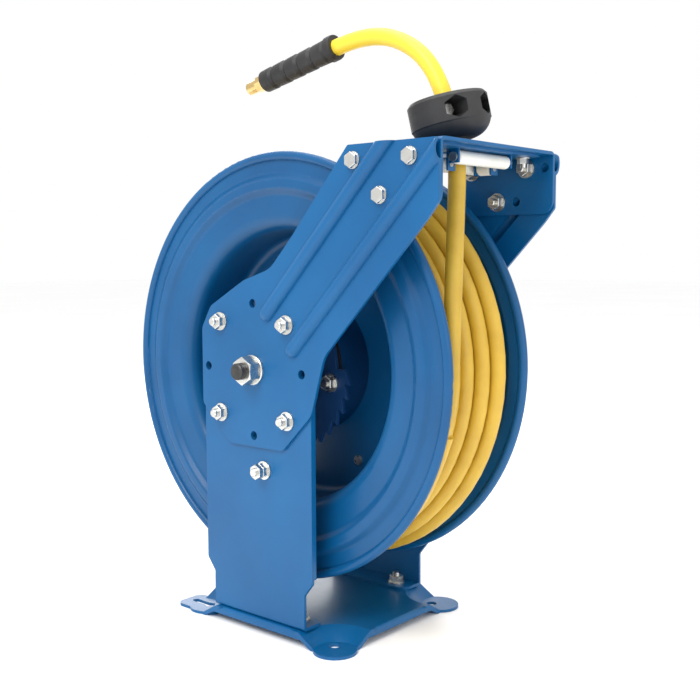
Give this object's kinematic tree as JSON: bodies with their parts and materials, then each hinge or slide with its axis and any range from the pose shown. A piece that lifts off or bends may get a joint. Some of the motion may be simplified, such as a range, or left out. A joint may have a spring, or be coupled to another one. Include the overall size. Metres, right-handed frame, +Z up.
{
  "type": "spring driven hose reel",
  "caption": "Dual-arm retractable air hose reel: spring-driven drum between two uprights, with pawl and ratchet, roller hose guide, hose stop and swivel inlet.",
  "frame": {"origin": "centre of the base bolt pattern, on the floor plane under the base", "axes": "+Z up, +X along the drum's axle towards the air inlet side, -Y towards the side where the hose leaves through the roller guide"},
  "size_m": [0.2535, 0.4285, 0.5813],
  "materials": {
    "blue_paint": "gloss",
    "dark_blue_paint": "satin",
    "black_steel": "satin",
    "zinc_steel": "zinc plated",
    "spring_steel": "blued",
    "white_nylon": "smooth",
    "black_rubber": "matte",
    "yellow_hose": "satin",
    "brass": "machined"
  },
  "bodies": {
    "frame": {"base_plate": "blue_paint", "left_upright": "blue_paint", "right_upright": "blue_paint", "left_arm": "blue_paint", "right_arm": "blue_paint", "guide_bracket": "blue_paint", "roller_frame": "blue_paint", "long_roller_pins": "zinc_steel", "short_roller_pins": "zinc_steel", "hub_bolts": "zinc_steel", "hub_nuts": "zinc_steel", "arm_bolts": "zinc_steel", "arm_nuts": "zinc_steel", "foot_bolts": "zinc_steel", "foot_nuts": "zinc_steel", "guide_bolts": "zinc_steel", "guide_nuts": "zinc_steel", "main_shaft": "zinc_steel", "near_spacer": "zinc_steel", "far_spacer": "zinc_steel", "shaft_washer": "zinc_steel", "shaft_nut": "zinc_steel", "inlet_locknut": "zinc_steel", "inlet_adaptor": "brass", "spring_arbor": "zinc_steel", "pawl_bolt": "zinc_steel", "pawl_spacer": "zinc_steel", "pawl_spring": "zinc_steel", "pawl_nuts": "zinc_steel", "front_stop_half": "black_rubber", "rear_stop_half": "black_rubber", "stop_bolts": "zinc_steel", "stop_nuts": "zinc_steel", "hose_lead": "yellow_hose", "hose_grip": "black_rubber", "hose_fitting": "brass"},
    "drum": {"left_disc": "blue_paint", "right_disc": "blue_paint", "drum_rivets": "zinc_steel", "spring_case": "black_steel", "spring_cover": "black_steel", "ratchet_plate": "dark_blue_paint", "case_studs": "zinc_steel", "case_nuts": "zinc_steel", "power_spring": "spring_steel", "near_bush": "brass", "swivel_collar": "brass", "swivel_seals": "black_rubber", "far_bush": "brass", "swivel_screws": "zinc_steel", "gooseneck": "brass", "hose_coil": "yellow_hose"},
    "pawl": {"pawl": "zinc_steel"},
    "front_roller": {"front_roller": "white_nylon"},
    "rear_roller": {"rear_roller": "white_nylon"},
    "left_roller": {"left_roller": "white_nylon"},
    "right_roller": {"right_roller": "white_nylon"}
  },
  "joints": [
    {"name": "drum_spin", "type": "hinge", "parent": "frame", "child": "drum", "pos_m": [0, 0, 0.26], "axis": [1, 0, 0], "continuous": true},
    {"name": "pawl_pivot", "type": "hinge", "parent": "frame", "child": "pawl", "pos_m": [-0.046, -0.011, 0.163], "axis": [1, 0, 0], "range_deg": [-25, 10], "stiffness_Nm_per_rad": 0.1},
    {"name": "front_roller_spin", "type": "hinge", "parent": "frame", "child": "front_roller", "pos_m": [0, -0.197, 0.4535], "axis": [1, 0, 0], "continuous": true},
    {"name": "rear_roller_spin", "type": "hinge", "parent": "frame", "child": "rear_roller", "pos_m": [0, -0.161, 0.45], "axis": [1, 0, 0], "continuous": true},
    {"name": "left_roller_spin", "type": "hinge", "parent": "frame", "child": "left_roller", "pos_m": [-0.034, -0.179, 0.4485], "axis": [0, 1, 0], "continuous": true},
    {"name": "right_roller_spin", "type": "hinge", "parent": "frame", "child": "right_roller", "pos_m": [0.034, -0.179, 0.4485], "axis": [0, 1, 0], "continuous": true}
  ]
}
